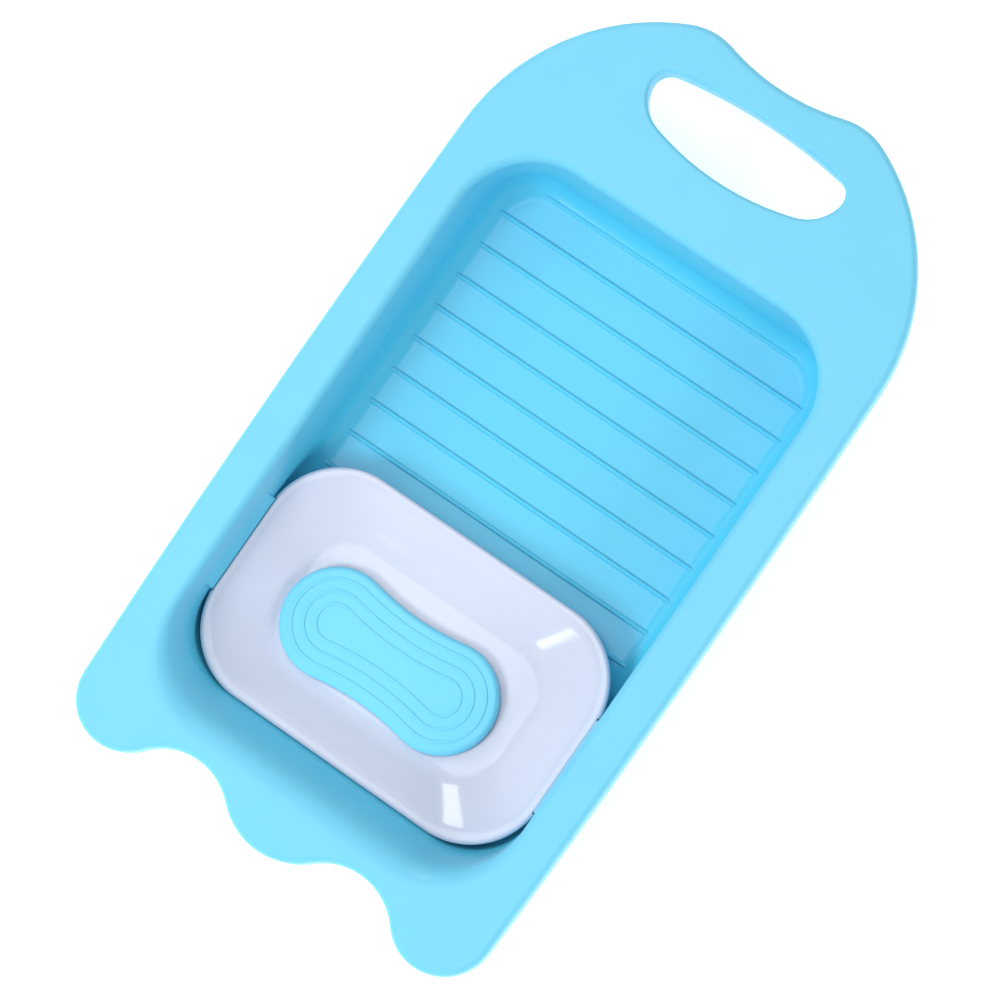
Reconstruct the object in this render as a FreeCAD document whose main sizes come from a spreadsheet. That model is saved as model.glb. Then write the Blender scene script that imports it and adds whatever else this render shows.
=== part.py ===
"""Plastic washboard tray with a lift-out soap dish and a soap rest clipped into the dish.

X runs across the board, Y along it towards the handle, Z up. The origin is on the table,
under the middle of the board. Millimetres throughout.
"""
import FreeCAD, Part
import math
import os

import Sketcher

Vector = FreeCAD.Vector
TOLERANCE = 0.01   # how far apart two equal positions may be
MARGIN = 1.0       # slack around a region when edges are looked up by their place

# Driving dimensions: alias, value, what it is.
DIMENSIONS = [
    # overall board
    ("rim_height", 48.0, "table to the top of the rim"),
    ("half_width", 128.8, "middle of the board to its widest point"),
    ("wall", 2.5, "moulded wall thickness of the board"),
    ("skirt_depth", 12.0, "depth of the turned-down edge"),
    ("edge_round", 3.2, "round on the outer top edge"),
    # outline, a closed chain of tangent arcs
    ("foot_reach", 233.9, "origin to the tip of the middle foot lobe"),
    ("foot_lobe_radius", 38.8, "middle foot lobe"),
    ("wave_reach", 214.0, "origin to the bottom of each wave between the lobes"),
    ("wave_radius", 35.5, "wave between two lobes"),
    ("corner_reach", 236.0, "origin to the tip of each corner lobe"),
    ("corner_lobe_radius", 27.1, "corner lobe"),
    ("side_radius", 6400.0, "slight bow of each long side"),
    ("shoulder_radius", 116.2, "shoulder beside the handle"),
    ("ear_reach", 236.3, "origin to the top of each ear of the handle"),
    ("ear_radius", 36.0, "ear of the handle"),
    ("dip_reach", 230.1, "origin to the dip between the ears"),
    ("dip_radius", 123.0, "dip between the ears"),
    # hand slot
    ("slot_far", 212.3, "origin to the far side of the slot"),
    ("slot_far_radius", 285.0, "bow of the far side of the slot"),
    ("slot_near", 173.1, "origin to the near side of the slot"),
    ("slot_near_radius", 146.4, "bow of the near side of the slot"),
    ("slot_half_length", 57.8, "middle to the end of the slot"),
    ("slot_end_radius", 22.7, "ends of the slot, next to its near side"),
    ("slot_corner_radius", 9.9, "corners of the slot, next to its far side"),
    ("slot_round", 2.0, "round on the slot's top edge"),
    # basin
    ("floor_underside", 2.0, "table to the underside of the basin floor"),
    ("basin_top_half_width", 105.2, "basin at rim level"),
    ("basin_top_head", 137.5, "head wall of the basin at rim level"),
    ("basin_top_foot", 196.5, "foot wall of the basin at rim level"),
    ("basin_top_head_radius", 44.0, "plan corners at the head, rim level"),
    ("basin_top_foot_radius", 46.0, "plan corners at the foot, rim level"),
    ("basin_floor_half_width", 100.5, "basin at floor level"),
    ("basin_floor_head", 131.5, "head wall of the basin at floor level"),
    ("basin_floor_foot", 169.2, "foot wall of the basin at floor level"),
    ("basin_floor_head_radius", 24.0, "plan corners at the head, floor level"),
    ("basin_floor_foot_radius", 30.0, "plan corners at the foot, floor level"),
    ("floor_round", 12.0, "round between floor and wall"),
    ("crest_round", 4.5, "round on the basin's top edge, sides and head"),
    ("foot_crest_round", 22.0, "round on the basin's top edge, foot end"),
    # washing ribs
    ("rib_count", 10, "number of ribs"),
    ("rib_pitch", 19.7, "rib to rib"),
    ("rib_first", 124.5, "origin to the rib nearest the handle"),
    ("rib_half_length", 98.0, "half the length of a rib"),
    ("rib_radius", 1.3, "radius of a rib's round back"),
    ("rib_rise", 1.25, "height of a rib above the floor"),
    # moulded feet under the floor
    ("foot_radius", 8.0, "radius of each moulded foot"),
    ("foot_x", 78.0, "middle to each foot, across"),
    ("foot_y", 118.0, "middle to each foot, along"),
    # soap dish
    ("dish_half_width", 101.7, "half the dish's width across the board"),
    ("dish_half_depth", 66.8, "half the dish's depth along the board"),
    ("dish_corner_radius", 42.0, "plan corners of the dish's lip"),
    ("dish_back", 111.6, "origin to the middle of the dish"),
    ("dish_height", 17.5, "height of the dish"),
    ("dish_wall", 2.2, "moulded wall thickness of the dish"),
    ("dish_base_half_width", 68.0, "half the base of the dish, across"),
    ("dish_base_half_depth", 36.0, "half the base of the dish, along"),
    ("dish_base_radius", 26.0, "plan corners of the dish's base"),
    ("bowl_spread", 2.0, "how far the bowl's floor reaches out past the base"),
    ("dish_lip", 5.0, "width of the dish's lip"),
    ("dish_lip_join", 0.5, "how far the dish's sides run out under its lip"),
    ("dish_lip_round", 16.0, "round from the lip into the bowl"),
    ("dish_edge_round", 2.0, "round on the lip's outer edge"),
    ("dish_bowl_round", 30.0, "round at the bottom of the bowl"),
    ("base_recess", 2.5, "depth of the hollow inside the dish's foot ring"),
    ("foot_ring", 3.0, "width of the dish's foot ring"),
    # catches that keep the dish from sliding along the basin
    ("catch_notch", 1.5, "depth of the notch in the dish's lip that takes a catch"),
    ("catch_length", 57.0, "length of a catch"),
    ("catch_top", 2.0, "catch above the dish's lip"),
    ("catch_start", 5.0, "basin floor to the bottom of a catch"),
    ("catch_round", 2.0, "round at the ends of a catch"),
    ("catch_slope", 16.0, "height of the slope from the catch's top back to the wall"),
    ("catch_gap", 0.35, "gap between a catch and the dish"),
    # soap rest
    ("rest_lobe_radius", 29.6, "end lobe of the rest"),
    ("rest_lobe_x", 33.5, "middle of the rest to an end lobe's centre"),
    ("rest_waist_radius", 142.0, "hollow sides of the rest"),
    ("rest_thickness", 4.5, "thickness of the rest"),
    ("rest_round", 3.0, "round on the rest's top edge"),
    ("rest_shift_x", -6.0, "rest off the dish's middle, across"),
    ("rest_shift_y", -7.0, "rest off the dish's middle, along"),
    ("ring_count", 3, "grip rings on the rest"),
    ("ring_first", 6.2, "edge of the rest to the outer ring"),
    ("ring_pitch", 6.5, "ring to ring"),
    ("ring_width", 1.0, "width of a ring"),
    ("ring_rise", 0.5, "height of a ring"),
    ("peg_radius", 2.6, "radius of each peg under the rest"),
    ("peg_x", 33.5, "middle of the rest to each peg"),
    ("rest_gap", 1.0, "gap under the rest, for water to run out"),
    ("peg_gap", 0.3, "gap around a peg in its hole"),
    ("peg_length", 1.8, "length of a peg below the rest"),
]

# Cells worked out from the ones above.
DERIVED = [
    ("floor_top", "=floor_underside + wall", "table to the basin floor"),
    ("bowl_floor", "=floor_top + base_recess + dish_wall", "table to the bottom of the bowl"),
    ("dish_top", "=floor_top + dish_height", "table to the dish's lip"),
    ("side_lean", "=(basin_top_half_width - basin_floor_half_width) / (rim_height - floor_top)",
     "how far a side wall of the basin leans out per millimetre of height"),
    ("catch_face", "=dish_half_width - catch_notch + catch_gap", "middle to the face of a catch"),
    ("catch_low", "=floor_top + catch_start", "table to the bottom of a catch"),
    ("catch_high", "=dish_top + catch_top", "table to the top of a catch's face"),
    ("catch_back", "=catch_high + catch_slope", "table to the top of a catch's slope"),
    ("rest_bottom", "=bowl_floor + rest_gap", "table to the underside of the rest"),
]

document = FreeCAD.newDocument("washboard")
sheet = document.addObject("Spreadsheet::Sheet", "dims")
for row, (alias, value, meaning) in enumerate(DIMENSIONS + DERIVED, start=1):
    sheet.set("A%d" % row, meaning)
    sheet.set("B%d" % row, str(value))
    sheet.setAlias("B%d" % row, alias)
document.recompute()


def cells(formula):
    """A formula of sheet aliases, as the document wants it: every alias gets the sheet's name."""
    names = [alias for alias, _, _ in DIMENSIONS + DERIVED]
    words = formula.replace("(", " ( ").replace(")", " ) ").split()
    return " ".join("dims." + word if word in names else word for word in words)


def size(formula):
    """The value of a formula of sheet aliases."""
    return float(sheet.evalExpression(cells(formula)))


# ---------------------------------------------------------------- sketches

def new_sketch(body, name, height, shift=("0", "0"), role="XY_Plane"):
    """A sketch parallel to an origin plane, at a height along that plane's normal."""
    sketch = body.newObject("Sketcher::SketchObject", name)
    plane = [item for item in body.Origin.OriginFeatures if item.Role == role][0]
    sketch.AttachmentSupport = [(plane, "")]
    sketch.MapMode = "FlatFace"
    sketch.setExpression("AttachmentOffset.Base.x", cells(shift[0]))
    sketch.setExpression("AttachmentOffset.Base.y", cells(shift[1]))
    sketch.setExpression("AttachmentOffset.Base.z", cells(height))
    return sketch


def bind(sketch, constraint, expression):
    """Add a dimension to a sketch and bind it to a formula of the sheet."""
    index = sketch.addConstraint(constraint)
    name = "size_%d" % index
    sketch.renameConstraint(index, name)
    sketch.setExpression("Constraints." + name, cells(expression))


def touching_point(first, second):
    """The point where two tangent circles (centre, radius, bulge) touch."""
    if first["bulge"] != second["bulge"]:
        across = (second["centre"] - first["centre"]).normalize()
        return first["centre"] + across * first["radius"]
    large, small = sorted((first, second), key=lambda circle: -circle["radius"])
    across = (small["centre"] - large["centre"]).normalize()
    return large["centre"] + across * large["radius"]


def circle(centre, radius, bulge=1, fixed_x=None, fixed_y=None):
    """One circle of a chain. Radius and fixed centre coordinates are sheet formulas."""
    return {"centre": centre, "radius_cell": radius, "bulge": bulge,
            "fixed_x": fixed_x, "fixed_y": fixed_y}


def draw_chain(sketch, circles, inset="0"):
    """Draw a closed outline of tangent arcs, counter-clockwise, inset by a sheet formula.

    A bulging arc gets smaller with the inset, and a hollow one larger.
    """
    for item in circles:
        sign = "-" if item["bulge"] > 0 else "+"
        item["formula"] = "%s %s ( %s )" % (item["radius_cell"], sign, inset)
        item["radius"] = size(item["formula"])
    joints = [touching_point(circles[index - 1], circles[index]) for index in range(len(circles))]
    drawn = []
    for index, item in enumerate(circles):
        start, end = joints[index], joints[(index + 1) % len(circles)]
        if item["bulge"] < 0:
            start, end = end, start
        angles = [math.atan2(point.y - item["centre"].y, point.x - item["centre"].x)
                  for point in (start, end)]
        outline = Part.Circle(item["centre"], Vector(0, 0, 1), item["radius"])
        drawn.append(sketch.addGeometry(Part.ArcOfCircle(outline, angles[0], angles[1]), False))
    for index, item in enumerate(circles):
        following = (index + 1) % len(circles)
        leaving = 2 if item["bulge"] > 0 else 1
        entering = 1 if circles[following]["bulge"] > 0 else 2
        sketch.addConstraint(Sketcher.Constraint(
            "Tangent", drawn[index], leaving, drawn[following], entering))
    for arc, item in zip(drawn, circles):
        bind(sketch, Sketcher.Constraint("Radius", arc, item["radius"]), item["formula"])
        if item["fixed_x"] is not None:
            bind(sketch, Sketcher.Constraint("DistanceX", -1, 1, arc, 3, item["centre"].x),
                 item["fixed_x"])
        if item["fixed_y"] is not None:
            bind(sketch, Sketcher.Constraint("DistanceY", -1, 1, arc, 3, item["centre"].y),
                 item["fixed_y"])


def draw_box(sketch, half_width, head, foot, head_radius, foot_radius):
    """Draw a rounded box, counter-clockwise, from sheet formulas.

    The box reaches from -foot to head along Y; its head and foot corners differ in radius.
    """
    wide, top, bottom = size(half_width), size(head), -size(foot)
    upper, lower = size(head_radius), size(foot_radius)
    corners = [
        (Vector(wide - upper, top - upper, 0), upper, 0),
        (Vector(upper - wide, top - upper, 0), upper, 90),
        (Vector(lower - wide, bottom + lower, 0), lower, 180),
        (Vector(wide - lower, bottom + lower, 0), lower, 270),
    ]
    arcs = []
    for centre, radius, start in corners:
        outline = Part.Circle(centre, Vector(0, 0, 1), radius)
        first, last = math.radians(start), math.radians(start + 90)
        arcs.append(sketch.addGeometry(Part.ArcOfCircle(outline, first, last), False))
    lines = []
    for index, direction in enumerate(("Horizontal", "Vertical", "Horizontal", "Vertical")):
        following = (index + 1) % 4
        start = sketch.Geometry[arcs[index]].EndPoint
        end = sketch.Geometry[arcs[following]].StartPoint
        line = sketch.addGeometry(Part.LineSegment(start, end), False)
        lines.append(line)
        sketch.addConstraint(Sketcher.Constraint("Tangent", arcs[index], 2, line, 1))
        sketch.addConstraint(Sketcher.Constraint("Tangent", line, 2, arcs[following], 1))
        sketch.addConstraint(Sketcher.Constraint(direction, line))
    for arc, cell in zip(arcs, (head_radius, head_radius, foot_radius, foot_radius)):
        bind(sketch, Sketcher.Constraint("Radius", arc, size(cell)), cell)
    bind(sketch, Sketcher.Constraint("DistanceY", -1, 1, lines[0], 1, top), head)
    bind(sketch, Sketcher.Constraint("DistanceX", lines[1], 1, -1, 1, wide), half_width)
    bind(sketch, Sketcher.Constraint("DistanceY", lines[2], 1, -1, 1, -bottom), foot)
    bind(sketch, Sketcher.Constraint("DistanceX", -1, 1, lines[3], 1, wide), half_width)


def draw_circle(sketch, x, y, radius):
    """Draw one full circle, its centre and radius given as sheet formulas."""
    centre = Vector(size(x), size(y), 0)
    outline = sketch.addGeometry(Part.Circle(centre, Vector(0, 0, 1), size(radius)), False)
    bind(sketch, Sketcher.Constraint("Radius", outline, size(radius)), radius)
    bind(sketch, Sketcher.Constraint("DistanceX", -1, 1, outline, 3, centre.x), x)
    bind(sketch, Sketcher.Constraint("DistanceY", -1, 1, outline, 3, centre.y), y)


def draw_polygon(sketch, corners):
    """Draw a closed outline of straight sides, each corner given as two sheet formulas."""
    points = [Vector(size(x), size(y), 0) for x, y in corners]
    sides = []
    for index, point in enumerate(points):
        following = points[(index + 1) % len(points)]
        sides.append(sketch.addGeometry(Part.LineSegment(point, following), False))
    for index, (x, y) in enumerate(corners):
        before = sides[index - 1]
        sketch.addConstraint(Sketcher.Constraint("Coincident", before, 2, sides[index], 1))
        bind(sketch, Sketcher.Constraint("DistanceX", -1, 1, sides[index], 1, points[index].x), x)
        bind(sketch, Sketcher.Constraint("DistanceY", -1, 1, sides[index], 1, points[index].y), y)


# ---------------------------------------------------------------- outlines

def beside(anchor, reach, level):
    """The point right of an anchor, at a distance from it and at a level in Y."""
    aside = math.sqrt(size(reach) ** 2 - (size(level) - anchor.y) ** 2)
    return Vector(anchor.x + aside, size(level), 0)


def meeting(first, first_reach, second, second_reach):
    """The point at given distances from two others, right of the way from first to second."""
    along = second - first
    gap = along.Length
    step = (size(first_reach) ** 2 - size(second_reach) ** 2 + gap ** 2) / (2 * gap)
    rise = math.sqrt(size(first_reach) ** 2 - step ** 2)
    along.normalize()
    aside = Vector(along.y, -along.x, 0)
    return first + along * step + aside * rise


def board_outline():
    """The board's outline: three foot lobes, bowed sides, round shoulders, an eared handle."""
    lobe = Vector(0, size("foot_lobe_radius - foot_reach"), 0)
    wave = beside(lobe, "foot_lobe_radius + wave_radius", "0 - wave_reach - wave_radius")
    corner = beside(wave, "wave_radius + corner_lobe_radius", "corner_lobe_radius - corner_reach")
    side_x = size("half_width - side_radius")
    side_rise = math.sqrt(size("side_radius - corner_lobe_radius") ** 2 - (corner.x - side_x) ** 2)
    side = Vector(side_x, corner.y + side_rise, 0)
    dip = Vector(0, size("dip_reach + dip_radius"), 0)
    ear = beside(dip, "dip_radius + ear_radius", "ear_reach - ear_radius")
    shoulder = meeting(side, "side_radius - shoulder_radius", ear, "shoulder_radius - ear_radius")
    right = [
        circle(wave, "wave_radius", -1, fixed_y="0 - wave_reach - wave_radius"),
        circle(corner, "corner_lobe_radius", fixed_y="corner_lobe_radius - corner_reach"),
        circle(side, "side_radius", fixed_x="half_width - side_radius"),
        circle(shoulder, "shoulder_radius"),
        circle(ear, "ear_radius", fixed_y="ear_reach - ear_radius"),
    ]
    middle_lobe = circle(lobe, "foot_lobe_radius", fixed_x="0",
                         fixed_y="foot_lobe_radius - foot_reach")
    middle_dip = circle(dip, "dip_radius", -1, fixed_x="0", fixed_y="dip_reach + dip_radius")
    left = [mirrored(item) for item in reversed(right)]
    return [middle_lobe] + right + [middle_dip] + left


def mirrored(item):
    """The same circle on the other side of the Y axis."""
    centre = Vector(-item["centre"].x, item["centre"].y, 0)
    fixed_x = item["fixed_x"]
    if fixed_x is not None:
        fixed_x = "0 - ( %s )" % fixed_x
    return circle(centre, item["radius_cell"], item["bulge"], fixed_x, item["fixed_y"])


def slot_outline():
    """The hand slot: two bowed long sides, and ends that are rounder towards the near side."""
    far = Vector(0, size("slot_far - slot_far_radius"), 0)
    near = Vector(0, size("slot_near + slot_near_radius"), 0)
    corner_x = size("slot_half_length - slot_corner_radius")
    corner_rise = math.sqrt(size("slot_far_radius - slot_corner_radius") ** 2 - corner_x ** 2)
    corner = Vector(corner_x, far.y + corner_rise, 0)
    end = meeting(near, "slot_near_radius - slot_end_radius",
                  corner, "slot_end_radius - slot_corner_radius")
    right = [
        circle(end, "slot_end_radius"),
        circle(corner, "slot_corner_radius", fixed_x="slot_half_length - slot_corner_radius"),
    ]
    near_circle = circle(near, "slot_near_radius", fixed_x="0",
                         fixed_y="slot_near + slot_near_radius")
    far_circle = circle(far, "slot_far_radius", fixed_x="0",
                        fixed_y="slot_far - slot_far_radius")
    return [near_circle] + right + [far_circle] + [mirrored(item) for item in reversed(right)]


def rest_outline():
    """The soap rest: two end lobes joined by hollow sides."""
    lobe_x, lobe, waist = size("rest_lobe_x"), size("rest_lobe_radius"), size("rest_waist_radius")
    offset = math.sqrt((lobe + waist) ** 2 - lobe_x ** 2)
    right = circle(Vector(lobe_x, 0, 0), "rest_lobe_radius", fixed_x="rest_lobe_x", fixed_y="0")
    upper = circle(Vector(0, offset, 0), "rest_waist_radius", -1)
    lower = circle(Vector(0, -offset, 0), "rest_waist_radius", -1)
    return [right, upper, mirrored(right), lower]


# ---------------------------------------------------------------- features

def pad(body, name, sketch, length):
    """A pad whose length is a sheet formula."""
    feature = body.newObject("PartDesign::Pad", name)
    feature.Profile = sketch
    feature.setExpression("Length", cells(length))
    document.recompute()
    return feature


def pocket(body, name, sketch, length, upwards):
    """A pocket whose depth is a sheet formula, cut upwards or downwards from its sketch."""
    before = body.Tip.Shape.Volume
    feature = body.newObject("PartDesign::Pocket", name)
    feature.Profile = sketch
    feature.setExpression("Length", cells(length))
    feature.Reversed = upwards
    document.recompute()
    if feature.Shape.Volume > before - MARGIN:
        raise RuntimeError("%s cuts nothing" % name)
    return feature


def loft(body, name, kind, lower, upper):
    """A ruled loft, additive or subtractive, between two sketches."""
    feature = body.newObject("PartDesign::" + kind, name)
    feature.Profile = lower
    feature.Sections = [upper]
    feature.Ruled = True
    document.recompute()
    return feature


def edges_where(shape, test):
    """Names of a shape's edges for which the test is true."""
    return ["Edge%d" % (index + 1) for index, edge in enumerate(shape.Edges) if test(edge)]


def flat_at(edge, level):
    """Whether an edge lies wholly at one height, given as a sheet formula."""
    box, height = edge.BoundBox, size(level)
    return abs(box.ZMin - height) < TOLERANCE and abs(box.ZMax - height) < TOLERANCE


def fillet(body, name, test, radius):
    """A fillet on the edges that pass the test, its radius a sheet formula."""
    base = body.Tip
    feature = body.newObject("PartDesign::Fillet", name)
    feature.Base = (base, edges_where(base.Shape, test))
    feature.setExpression("Radius", cells(radius))
    document.recompute()
    return feature


# ---------------------------------------------------------------- board

def make_board():
    """The one-piece board: rim with a turned-down edge, basin, ribs, hand slot and catches."""
    body = document.addObject("PartDesign::Body", "washboard_moulding")
    skirt_bottom = "rim_height - skirt_depth"

    outline = new_sketch(body, "outline", skirt_bottom)
    draw_chain(outline, board_outline())
    pad(body, "rim_plate", outline, "skirt_depth")
    fillet(body, "rim_edge", lambda edge: flat_at(edge, "rim_height"), "edge_round")

    hollow = new_sketch(body, "rim_hollow_outline", skirt_bottom)
    draw_chain(hollow, board_outline(), "wall")
    pocket(body, "rim_hollow", hollow, "skirt_depth - wall", True)
    fillet(body, "rim_hollow_edge", lambda edge: flat_at(edge, "rim_height - wall"),
           "edge_round - wall")

    outer_floor = new_sketch(body, "basin_outside_floor", "floor_underside")
    draw_box(outer_floor, "basin_floor_half_width + wall", "basin_floor_head + wall",
             "basin_floor_foot + wall", "basin_floor_head_radius + wall",
             "basin_floor_foot_radius + wall")
    outer_top = new_sketch(body, "basin_outside_top", "rim_height - wall")
    draw_box(outer_top, "basin_top_half_width + wall", "basin_top_head + wall",
             "basin_top_foot + wall", "basin_top_head_radius + wall",
             "basin_top_foot_radius + wall")
    loft(body, "basin_outside", "AdditiveLoft", outer_floor, outer_top)

    flange = new_sketch(body, "slot_flange_outline", skirt_bottom)
    draw_chain(flange, slot_outline(), "0 - wall")
    pad(body, "slot_flange", flange, "skirt_depth - wall / 2")

    inner_floor = new_sketch(body, "basin_floor", "floor_top")
    draw_box(inner_floor, "basin_floor_half_width", "basin_floor_head", "basin_floor_foot",
             "basin_floor_head_radius", "basin_floor_foot_radius")
    inner_top = new_sketch(body, "basin_top", "rim_height")
    draw_box(inner_top, "basin_top_half_width", "basin_top_head", "basin_top_foot",
             "basin_top_head_radius", "basin_top_foot_radius")
    loft(body, "basin", "SubtractiveLoft", inner_floor, inner_top)
    fillet(body, "floor_round_inside", lambda edge: flat_at(edge, "floor_top"), "floor_round")
    fillet(body, "floor_round_outside", lambda edge: flat_at(edge, "floor_underside"),
           "floor_round + wall")

    slot = new_sketch(body, "slot_cut_outline", "rim_height")
    draw_chain(slot, slot_outline())
    pocket(body, "slot", slot, "skirt_depth", False)
    fillet(body, "slot_edge", lambda edge: flat_at(edge, "rim_height") and around_slot(edge),
           "slot_round")

    add_ribs(body)
    add_catches(body)
    add_feet(body)
    return round_crest(body)


def around_slot(edge):
    """Whether an edge lies within the hand slot's reach along the board."""
    box = edge.BoundBox
    return box.YMin > size("slot_near") - MARGIN and box.YMax < size("slot_far") + MARGIN


def around_basin(edge):
    """Whether an edge belongs to the basin's opening, on top of the rim or under it."""
    box = edge.BoundBox
    wide = size("basin_top_half_width + wall") + TOLERANCE
    return box.XMax < wide and box.YMax < size("basin_top_head + wall") + TOLERANCE


def add_ribs(body):
    """Round-backed ribs across the basin floor, patterned from the first one."""
    length, radius = size("rib_half_length"), size("rib_radius")
    sketch = new_sketch(body, "rib_profile", "floor_top + rib_rise - rib_radius",
                        ("0", "rib_first"))
    ends = [Vector(-length, 0, 0), Vector(length, 0, 0)]
    crown = [Vector(length - radius, radius, 0), Vector(radius - length, radius, 0)]
    axis = sketch.addGeometry(Part.LineSegment(ends[0], ends[1]), False)
    right_round = Part.Circle(Vector(length - radius, 0, 0), Vector(0, 0, 1), radius)
    right = sketch.addGeometry(Part.ArcOfCircle(right_round, 0, math.pi / 2), False)
    back = sketch.addGeometry(Part.LineSegment(crown[0], crown[1]), False)
    left_round = Part.Circle(Vector(radius - length, 0, 0), Vector(0, 0, 1), radius)
    left = sketch.addGeometry(Part.ArcOfCircle(left_round, math.pi / 2, math.pi), False)
    for first, leaving, second, entering in ((axis, 2, right, 1), (left, 2, axis, 1)):
        sketch.addConstraint(Sketcher.Constraint("Coincident", first, leaving, second, entering))
    sketch.addConstraint(Sketcher.Constraint("Tangent", right, 2, back, 1))
    sketch.addConstraint(Sketcher.Constraint("Tangent", back, 2, left, 1))
    sketch.addConstraint(Sketcher.Constraint("PointOnObject", axis, 1, -1))
    sketch.addConstraint(Sketcher.Constraint("PointOnObject", axis, 2, -1))
    sketch.addConstraint(Sketcher.Constraint("PointOnObject", right, 3, -1))
    sketch.addConstraint(Sketcher.Constraint("PointOnObject", left, 3, -1))
    bind(sketch, Sketcher.Constraint("Radius", right, radius), "rib_radius")
    bind(sketch, Sketcher.Constraint("DistanceX", -1, 1, axis, 2, length), "rib_half_length")
    bind(sketch, Sketcher.Constraint("DistanceX", axis, 1, -1, 1, length), "rib_half_length")
    rib = body.newObject("PartDesign::Revolution", "rib")
    rib.Profile = sketch
    rib.ReferenceAxis = (sketch, ["H_Axis"])
    rib.Angle = 180
    document.recompute()
    pattern = body.newObject("PartDesign::LinearPattern", "ribs")
    pattern.Originals = [rib]
    along = [item for item in body.Origin.OriginFeatures if item.Role == "Y_Axis"][0]
    pattern.Direction = (along, [""])
    pattern.Reversed = True
    pattern.setExpression("Length", cells("rib_pitch * ( rib_count - 1 )"))
    pattern.setExpression("Occurrences", cells("rib_count"))
    body.Tip = pattern
    document.recompute()


def add_catches(body):
    """A catch on each side wall of the basin, level with the dish's lip.

    Its back is buried in the leaning wall. Its face stands upright, and its top slopes off.
    """
    sketch = new_sketch(body, "catch_profile", "dish_back", role="XZ_Plane")
    buried = "basin_floor_half_width + wall / 2 + side_lean * ( %s - floor_top )"
    profile = [("catch_face", "catch_low"), ("catch_face", "catch_high"),
               (buried % "catch_back", "catch_back"), (buried % "catch_low", "catch_low")]
    for side in (-1, 1):
        draw_polygon(sketch, [("%d * ( %s )" % (side, x), z) for x, z in profile])
    catches = pad(body, "catches", sketch, "catch_length")
    catches.Midplane = True
    document.recompute()
    fillet(body, "catch_ends", at_catch_end, "catch_round")


def at_catch_end(edge):
    """Whether an edge runs round the visible end of a catch."""
    box = edge.BoundBox
    reach = abs(box.Center.y + size("dish_back"))
    at_end = box.YLength < TOLERANCE and abs(reach - size("catch_length / 2")) < TOLERANCE
    upright = box.ZMin > size("floor_top + floor_round")
    inside = max(abs(box.XMin), abs(box.XMax)) < size("basin_top_half_width")
    starts_at_face = abs(min(abs(box.XMin), abs(box.XMax)) - size("catch_face")) < TOLERANCE
    return at_end and upright and inside and starts_at_face and box.ZLength > MARGIN


def add_feet(body):
    """Four low round feet moulded under the floor."""
    sketch = new_sketch(body, "feet_outline", "0")
    for side_x in (-1, 1):
        for side_y in (-1, 1):
            draw_circle(sketch, "%d * foot_x" % side_x, "%d * foot_y" % side_y, "foot_radius")
    pad(body, "feet", sketch, "floor_underside + wall / 2")


def round_crest(body):
    """Round the basin's top edge: tight along the sides and head, wide at the foot end.

    Under the rim the same bend gets the same round less the wall, so that the wall stays even.
    """
    rounds = []
    for index, edge in enumerate(body.Shape.Edges):
        for level, less in (("rim_height", "0"), ("rim_height - wall", "wall")):
            if flat_at(edge, level) and around_basin(edge):
                ends = [edge.valueAt(edge.FirstParameter), edge.valueAt(edge.LastParameter)]
                radii = [size("%s - %s" % (round_at(point), less)) for point in ends]
                rounds.append((index + 1, radii[0], radii[1]))
    rounded = document.addObject("Part::Fillet", "washboard")
    rounded.Base = body
    rounded.Edges = rounds
    document.recompute()
    return rounded


def round_at(point):
    """The cell that holds the crest's round at a point of the basin's top edge."""
    on_foot_wall = point.y < MARGIN - size("basin_top_foot")
    return "foot_crest_round" if on_foot_wall else "crest_round"


# ---------------------------------------------------------------- soap dish

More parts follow.
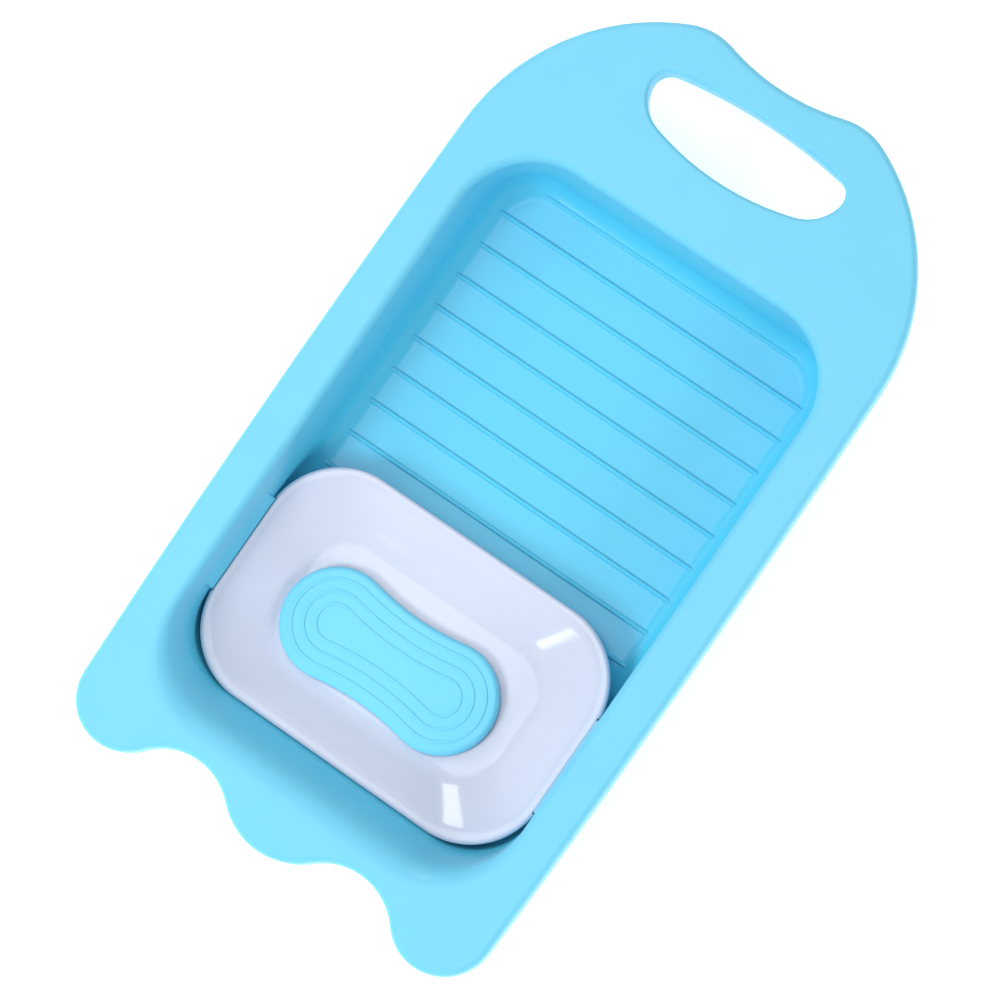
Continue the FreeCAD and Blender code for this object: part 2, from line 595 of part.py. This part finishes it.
def make_dish():
    """The shallow dish: foot ring, sloping sides, a wide lip, notches and two peg holes."""
    body = document.addObject("PartDesign::Body", "soap_dish")
    middle = ("0", "0 - dish_back")

    base = new_sketch(body, "dish_base", "floor_top", middle)
    draw_centred_box(base, "dish_base_half_width", "dish_base_half_depth", "dish_base_radius")
    under_lip = new_sketch(body, "dish_under_lip", "dish_top - dish_wall", middle)
    draw_centred_box(under_lip, "dish_half_width - dish_lip + dish_lip_join",
                     "dish_half_depth - dish_lip + dish_lip_join",
                     "dish_corner_radius - dish_lip + dish_lip_join")
    loft(body, "dish_sides", "AdditiveLoft", base, under_lip)

    lip = new_sketch(body, "dish_lip_outline", "dish_top - dish_wall", middle)
    draw_centred_box(lip, "dish_half_width", "dish_half_depth", "dish_corner_radius")
    pad(body, "dish_lip_plate", lip, "dish_wall")

    bowl_floor = new_sketch(body, "bowl_floor_outline", "bowl_floor", middle)
    draw_centred_box(bowl_floor, "dish_base_half_width + bowl_spread",
                     "dish_base_half_depth + bowl_spread", "dish_base_radius + bowl_spread")
    bowl_top = new_sketch(body, "bowl_top_outline", "dish_top", middle)
    draw_centred_box(bowl_top, "dish_half_width - dish_lip", "dish_half_depth - dish_lip",
                     "dish_corner_radius - dish_lip")
    loft(body, "bowl", "SubtractiveLoft", bowl_floor, bowl_top)
    fillet(body, "bowl_round", lambda edge: flat_at(edge, "bowl_floor"), "dish_bowl_round")
    fillet(body, "lip_round", lambda edge: flat_at(edge, "dish_top") and edge_inside(edge),
           "dish_lip_round")

    under = new_sketch(body, "base_recess_outline", "floor_top", middle)
    draw_centred_box(under, "dish_base_half_width - foot_ring", "dish_base_half_depth - foot_ring",
                     "dish_base_radius - foot_ring")
    pocket(body, "base_recess_cut", under, "base_recess", True)

    fillet(body, "lip_edge", lambda edge: flat_at(edge, "dish_top") and not edge_inside(edge),
           "dish_edge_round")

    notches = new_sketch(body, "notch_outline", "dish_top", middle)
    notch_half, notch_inner = "( catch_length / 2 + catch_gap )", "( dish_half_width - catch_notch )"
    for side in (-1, 1):
        inner, outer = "%d * %s" % (side, notch_inner), "%d * ( dish_half_width + wall )" % side
        draw_polygon(notches, [(inner, "0 - " + notch_half), (outer, "0 - " + notch_half),
                               (outer, notch_half), (inner, notch_half)])
    pocket(body, "notches", notches, "dish_wall * 2", False)

    holes = new_sketch(body, "peg_hole_outline", "bowl_floor",
                       ("rest_shift_x", "rest_shift_y - dish_back"))
    draw_peg_circles(holes, "peg_radius + peg_gap")
    pocket(body, "peg_holes", holes, "dish_wall * 2", False)
    return body


def edge_inside(edge):
    """Whether an edge lies well inside the outline of the dish's lip."""
    box = edge.BoundBox
    wide = size("dish_half_width - dish_lip / 2")
    head = size("dish_half_depth - dish_lip / 2 - dish_back")
    foot = size("dish_lip / 2 - dish_half_depth - dish_back")
    return box.XMax < wide and box.XMin > -wide and box.YMax < head and box.YMin > foot


def draw_centred_box(sketch, half_width, half_depth, radius):
    """Draw a rounded box centred on the sketch's origin."""
    draw_box(sketch, half_width, half_depth, half_depth, radius, radius)


def draw_peg_circles(sketch, radius_cell):
    """Draw the two peg circles, left and right of the middle of the rest."""
    for side in (-1, 1):
        draw_circle(sketch, "%d * peg_x" % side, "0", radius_cell)


# ---------------------------------------------------------------- soap rest

def make_rest():
    """The soap rest: a waisted plate with raised rings on top and two pegs below."""
    body = document.addObject("PartDesign::Body", "soap_rest")
    middle = ("rest_shift_x", "rest_shift_y - dish_back")
    rest_top = "rest_bottom + rest_thickness"

    plate = new_sketch(body, "rest_outline", "rest_bottom", middle)
    draw_chain(plate, rest_outline())
    pad(body, "rest_plate", plate, "rest_thickness")
    fillet(body, "rest_edge", lambda edge: flat_at(edge, rest_top), "rest_round")

    # Each ring starts as far below the rest's face as it ends above it.
    for index in range(int(size("ring_count"))):
        ring = new_sketch(body, "ring_outline_%d" % (index + 1), rest_top + " - ring_rise", middle)
        inset = "ring_first + %d * ring_pitch" % index
        draw_chain(ring, rest_outline(), inset)
        draw_chain(ring, rest_outline(), inset + " + ring_width")
        pad(body, "ring_%d" % (index + 1), ring, "ring_rise * 2")

    pegs = new_sketch(body, "peg_outline", "rest_bottom - peg_length", middle)
    draw_peg_circles(pegs, "peg_radius")
    pad(body, "pegs", pegs, "peg_length + rest_thickness / 2")
    return body


# ---------------------------------------------------------------- build and export

nodes = [make_board(), make_dish(), make_rest()]
document.recompute()
for item in document.Objects:
    if "Invalid" in item.State or "Error" in item.State:
        raise RuntimeError("%s is not sound: %s" % (item.Name, item.State))
os.makedirs("parts", exist_ok=True)
for node in nodes:
    if node.Shape.isNull() or not node.Shape.isValid():
        raise RuntimeError("%s has no valid shape" % node.Label)
    node.Shape.exportStep("parts/%s.step" % node.Label)
    print(node.Label, "exported, solids:", len(node.Shape.Solids))
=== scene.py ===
"""Washboard tray with its soap dish and soap rest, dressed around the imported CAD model.

Metres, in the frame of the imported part: X across the board, Y towards the handle, Z up.
"""

import math

import bpy
from mathutils import Matrix, Vector


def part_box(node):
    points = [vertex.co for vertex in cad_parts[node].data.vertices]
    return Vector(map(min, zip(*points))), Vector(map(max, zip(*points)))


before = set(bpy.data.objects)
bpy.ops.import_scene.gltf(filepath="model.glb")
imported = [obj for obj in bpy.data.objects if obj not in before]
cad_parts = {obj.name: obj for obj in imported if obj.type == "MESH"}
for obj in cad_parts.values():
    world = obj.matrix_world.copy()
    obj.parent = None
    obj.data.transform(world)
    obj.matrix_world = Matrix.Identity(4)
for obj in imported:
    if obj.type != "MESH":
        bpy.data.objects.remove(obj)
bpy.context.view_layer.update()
scene = bpy.context.scene

RIM_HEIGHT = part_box("washboard")[1].z

# Camera. The direction runs from the target to the camera, and the roll turns the handle
# end of the board clockwise in the picture.
VIEW_TARGET = Vector((0.001, -0.021, RIM_HEIGHT))
VIEW_DIRECTION = Vector((0.196, -0.049, 0.979))
VIEW_DISTANCE = 2.0
VIEW_ROLL = math.radians(34.77)
FOCAL_LENGTH_MM = 144
SENSOR_WIDTH_MM = 36
FAR_CLIP = 20

# Studio. The floor glows a little, which keeps shadows faint, and lies a hair below the feet.
ROOM_LIGHT = 0.44
FLOOR_SIZE = 6.0
FLOOR_WHITE = 0.93
FLOOR_GLOW = 0.55
FLOOR_GAP = 0.0001
SOFTBOX_DISTANCE = 2.2
# Each softbox: name, bearing and height in degrees, size in metres, watts, shown by gloss.
SOFTBOXES = (
    ("key", -115, 42, (0.9, 0.6), 26, False),
    ("left", 180, 34, (0.8, 0.8), 10, False),
    ("right", -5, 26, (0.9, 0.9), 18, False),
    ("head", 124, 40, (0.45, 0.45), 4, True),
    ("strip", -113, 38, (0.30, 0.10), 0.8, True),
    ("top", 166, 78, (1.2, 1.2), 8, True),
)

# Plastics. Colours are linear, lengths are metres.
# The rim blue is paler in red than the basin blue over the board's own blue: the paler rim is a
# painted sheen and the deeper basin a painted shade.
RIM_BLUE_WITH_PAINTED_SHEEN = (0.165, 0.580, 0.790)
BASIN_BLUE_WITH_PAINTED_SHADE = (0.080, 0.545, 0.785)
REST_BLUE = (0.165, 0.615, 0.840)
DISH_WHITE = (0.575, 0.622, 0.755)
PLASTIC_IOR = 1.49
COAT_ROUGHNESS = 0.08
PIGMENT_CLOUDING = 0.02
SHEEN_SPREAD = 0.12
NOISE_MIDDLE = (0.25, 0.75)
BASIN_SHADE_START = 0.2
CLOUDS_PER_METRE = 24
SCUFFS_PER_METRE = 60
RIPPLES_PER_METRE = 22
RIPPLE_DEPTH = 0.0001
GRAINS_PER_METRE = 1400
BLUE_GRAIN_DEPTH = 0.000006
WHITE_GRAIN_DEPTH = 0.000001
SCATTER_REACH = 0.002
SCATTER_BY_COLOUR = (0.6, 1.0, 1.0)


def noise(tree, features_per_metre, detail):
    """Noise over a piece's own coordinates, as a value around one half."""
    place = tree.nodes.new("ShaderNodeTexCoord")
    texture = tree.nodes.new("ShaderNodeTexNoise")
    texture.inputs["Scale"].default_value = features_per_metre
    texture.inputs["Detail"].default_value = detail
    tree.links.new(place.outputs["Object"], texture.inputs["Vector"])
    return texture.outputs["Fac"]


def spread(tree, value, low, high):
    """Spread a noise value over a range, so that its middle half covers all of it."""
    span = tree.nodes.new("ShaderNodeMapRange")
    span.inputs["From Min"].default_value = NOISE_MIDDLE[0]
    span.inputs["From Max"].default_value = NOISE_MIDDLE[1]
    span.inputs["To Min"].default_value = low
    span.inputs["To Max"].default_value = high
    tree.links.new(value, span.inputs["Value"])
    return span.outputs["Result"]


def dented(tree, value, depth, under=None):
    """A bump of a given depth in metres, on top of another bump if there is one."""
    bump = tree.nodes.new("ShaderNodeBump")
    bump.inputs["Distance"].default_value = depth
    tree.links.new(value, bump.inputs["Height"])
    if under is not None:
        tree.links.new(under, bump.inputs["Normal"])
    return bump.outputs["Normal"]


def clouded(tree, colour):
    """A pigment that is a little stronger in some places than in others."""
    base_colour = tree.nodes.new("ShaderNodeMix")
    base_colour.data_type = "RGBA"
    base_colour.inputs["A"].default_value = [share * (1 - PIGMENT_CLOUDING) for share in colour] + [1]
    base_colour.inputs["B"].default_value = [share * (1 + PIGMENT_CLOUDING) for share in colour] + [1]
    tree.links.new(noise(tree, CLOUDS_PER_METRE, 3), base_colour.inputs["Factor"])
    return base_colour.outputs["Result"]


def height_share(tree):
    """How far up the board a point is: 0 on the basin floor, 1 on the rim."""
    place = tree.nodes.new("ShaderNodeTexCoord")
    split = tree.nodes.new("ShaderNodeSeparateXYZ")
    tree.links.new(place.outputs["Object"], split.inputs["Vector"])
    rise = tree.nodes.new("ShaderNodeMapRange")
    rise.interpolation_type = "SMOOTHSTEP"
    rise.inputs["From Min"].default_value = RIM_HEIGHT * BASIN_SHADE_START
    rise.inputs["From Max"].default_value = RIM_HEIGHT
    tree.links.new(split.outputs["Z"], rise.inputs["Value"])
    return rise.outputs["Result"]


def blended(tree, share, kind, low, high):
    """Two colours or values blended by a share; each is a node's output."""
    blend = tree.nodes.new("ShaderNodeMix")
    blend.data_type = kind
    tree.links.new(share, blend.inputs["Factor"])
    tree.links.new(low, blend.inputs["A"])
    tree.links.new(high, blend.inputs["B"])
    return blend.outputs["Result"]


def uneven(tree, scuffs, roughness):
    """A roughness that wanders a little around its value with the scuffs."""
    return spread(tree, scuffs, roughness * (1 - SHEEN_SPREAD), roughness * (1 + SHEEN_SPREAD))


def moulded_plastic(name, colour, roughness, grain_depth, coat, glow_through, basin=None):
    """Injection-moulded plastic. Given a basin, the low parts take a deeper blue, a painted
    shade, and a roughness of their own, while the rim's paler blue carries a painted sheen.

    The pigment clouds slightly, the gloss is a little uneven, and the skin carries the mould's
    fine grain on top of a slow ripple left by the moulding's shrinkage.
    """
    material = bpy.data.materials.new(name)
    material.use_nodes = True
    tree = material.node_tree
    shader = tree.nodes["Principled BSDF"]

    base_colour = clouded(tree, colour)
    scuffs = noise(tree, SCUFFS_PER_METRE, 5)
    sheen = uneven(tree, scuffs, roughness)
    if basin is not None:
        # Painted shade and sheen: the deeper blue low in the basin and the paler blue on the rim
        # stand in for shade and gloss. The roughness change with height is real.
        share = height_share(tree)
        basin_painted_shade_colour, basin_roughness = basin
        base_colour = blended(tree, share, "RGBA", clouded(tree, basin_painted_shade_colour), base_colour)
        sheen = blended(tree, share, "FLOAT", uneven(tree, scuffs, basin_roughness), sheen)
    tree.links.new(base_colour, shader.inputs["Base Color"])
    tree.links.new(sheen, shader.inputs["Roughness"])

    ripple = dented(tree, noise(tree, RIPPLES_PER_METRE, 1), RIPPLE_DEPTH)
    grain = dented(tree, noise(tree, GRAINS_PER_METRE, 2), grain_depth, ripple)
    tree.links.new(grain, shader.inputs["Normal"])

    shader.inputs["IOR"].default_value = PLASTIC_IOR
    shader.inputs["Coat Weight"].default_value = coat
    shader.inputs["Coat Roughness"].default_value = COAT_ROUGHNESS
    shader.inputs["Subsurface Weight"].default_value = glow_through
    shader.inputs["Subsurface Radius"].default_value = SCATTER_BY_COLOUR
    shader.inputs["Subsurface Scale"].default_value = SCATTER_REACH
    return material


def dress(name, material):
    """Give a CAD node its material and smooth shading."""
    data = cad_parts[name].data
    data.materials.clear()
    data.materials.append(material)
    for face in data.polygons:
        face.use_smooth = True


def dress_pieces():
    """The three mouldings: light blue board, white dish, light blue rest."""
    dress("washboard", moulded_plastic(
        "blue_board", RIM_BLUE_WITH_PAINTED_SHEEN, roughness=0.42, grain_depth=BLUE_GRAIN_DEPTH, coat=0.1,
        glow_through=0.1, basin=(BASIN_BLUE_WITH_PAINTED_SHADE, 0.22)))
    dress("soap_dish", moulded_plastic(
        "white_dish", DISH_WHITE, roughness=0.14, grain_depth=WHITE_GRAIN_DEPTH, coat=0.4,
        glow_through=0.15))
    dress("soap_rest", moulded_plastic(
        "blue_rest", REST_BLUE, roughness=0.40, grain_depth=BLUE_GRAIN_DEPTH, coat=0.0,
        glow_through=0.1))


def make_floor():
    """A plain pale studio floor."""
    data = bpy.data.meshes.new("floor")
    half = FLOOR_SIZE / 2
    signs = ((-1, -1), (1, -1), (1, 1), (-1, 1))
    corners = [(x * half, y * half, -FLOOR_GAP) for x, y in signs]
    data.from_pydata(corners, [], [(0, 1, 2, 3)])
    floor = bpy.data.objects.new("floor", data)
    scene.collection.objects.link(floor)
    material = bpy.data.materials.new("floor")
    material.use_nodes = True
    shader = material.node_tree.nodes["Principled BSDF"]
    shader.inputs["Base Color"].default_value = (FLOOR_WHITE, FLOOR_WHITE, FLOOR_WHITE, 1)
    shader.inputs["Roughness"].default_value = 0.9
    shader.inputs["Specular IOR Level"].default_value = 0.0
    shader.inputs["Emission Color"].default_value = (1, 1, 1, 1)
    shader.inputs["Emission Strength"].default_value = FLOOR_GLOW
    data.materials.append(material)


def softbox(name, bearing, height, size, power, mirrored):
    """A studio softbox aimed at the board, placed by its bearing and height angle."""
    bearing, height = math.radians(bearing), math.radians(height)
    away = Vector((math.cos(height) * math.cos(bearing), math.cos(height) * math.sin(bearing),
                   math.sin(height)))
    data = bpy.data.lights.new(name, "AREA")
    data.shape = "RECTANGLE"
    data.size, data.size_y = size
    data.energy = power
    light = bpy.data.objects.new(name, data)
    light.visible_glossy = mirrored
    light.location = away * SOFTBOX_DISTANCE
    light.rotation_euler = (-away).to_track_quat("-Z", "Y").to_euler()
    scene.collection.objects.link(light)


def make_light():
    """A white room, a key softbox beyond the foot end and weaker ones around the board."""
    world = bpy.data.worlds.new("studio")
    world.use_nodes = True
    background = world.node_tree.nodes["Background"]
    background.inputs["Color"].default_value = (1, 1, 1, 1)
    background.inputs["Strength"].default_value = ROOM_LIGHT
    scene.world = world
    for light in SOFTBOXES:
        softbox(*light)


def make_camera():
    """A long lens above the board, leaning a little to its right and towards its foot."""
    data = bpy.data.cameras.new("camera")
    data.lens = FOCAL_LENGTH_MM
    data.sensor_width = SENSOR_WIDTH_MM
    data.clip_end = FAR_CLIP
    camera = bpy.data.objects.new("camera", data)
    back = VIEW_DIRECTION.normalized()
    up = (Vector((0, 1, 0)) - back * back.y).normalized()
    up = Matrix.Rotation(VIEW_ROLL, 3, back) @ up
    right = up.cross(back)
    turn = Matrix((right, up, back)).transposed().to_4x4()
    camera.matrix_world = Matrix.Translation(VIEW_TARGET + back * VIEW_DISTANCE) @ turn
    scene.collection.objects.link(camera)
    scene.camera = camera


dress_pieces()
make_floor()
make_light()
make_camera()
scene.view_settings.view_transform = "Standard"
